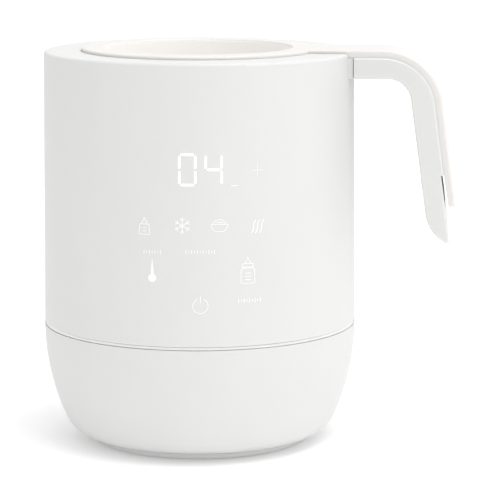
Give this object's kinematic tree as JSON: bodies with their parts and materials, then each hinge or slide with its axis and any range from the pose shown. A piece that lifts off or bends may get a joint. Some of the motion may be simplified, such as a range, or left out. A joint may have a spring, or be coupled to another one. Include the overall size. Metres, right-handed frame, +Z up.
{
  "type": "bottle warmer",
  "caption": "Round countertop water-bath bottle warmer with a hidden lit touch display and a lift-out basket on a hooked handle.",
  "frame": {"origin": "on the table surface at the middle of the foot ring", "axes": "+Z up along the well, -Y towards the user and the display, +X to the handle's side"},
  "size_m": [0.175, 0.1322, 0.1669],
  "materials": {
    "shell_plastic": "satin moulded ABS, fine grain",
    "seam_plastic": "satin",
    "basket_plastic": "satin polypropylene, slightly warm",
    "grip_plastic": "satin",
    "foot_rubber": "matt",
    "silicone": "matt",
    "inner_plastic": "as moulded",
    "tank_aluminium": "satin, non-stick",
    "steel": "plain",
    "ceramic_white": "glazed ceramic look",
    "circuit_board": "solder resist",
    "black_plastic": "moulded",
    "connector_plastic": "moulded nylon",
    "transformer_iron": "varnished laminations",
    "led_resin": "clear resin",
    "contact_brass": "plated",
    "lead_insulation": "insulation"
  },
  "bodies": {
    "housing": {"upper_housing": "shell_plastic", "lower_housing": "shell_plastic", "base_cover": "shell_plastic", "seam_gasket": "seam_plastic", "foot_ring": "foot_rubber", "inlet_grommet": "foot_rubber", "tank_seal": "silicone", "tank_retainer": "inner_plastic", "chassis": "inner_plastic", "light_mask": "inner_plastic", "water_tank": "tank_aluminium", "heater_plate": "tank_aluminium", "retainer_screws": "steel", "heater_screws": "steel", "chassis_screws": "steel", "housing_screws": "steel", "board_screws": "steel", "display_screws": "steel", "heating_element": "steel", "heat_shield": "steel", "thermal_cutout": "steel", "temperature_sensor": "steel", "element_terminals": "steel", "terminal_insulators": "ceramic_white", "thermal_fuse": "ceramic_white", "main_board": "circuit_board", "display_board": "circuit_board", "relay": "black_plastic", "controller_chip": "black_plastic", "buzzer": "black_plastic", "digit_module": "black_plastic", "capacitors": "black_plastic", "terminal_block": "connector_plastic", "board_connectors": "connector_plastic", "transformer": "transformer_iron", "icon_leds": "led_resin", "touch_rings": "contact_brass", "heater_leads": "lead_insulation", "sensor_leads": "lead_insulation", "display_ribbon": "lead_insulation"},
    "basket": {"lift_basket": "basket_plastic", "handle_grip": "grip_plastic", "grip_screws": "steel"}
  },
  "joints": [
    {"name": "basket_lift", "type": "slide", "parent": "housing", "child": "basket", "axis": [0, 0, 1], "range_m": [0, 0.1]}
  ]
}
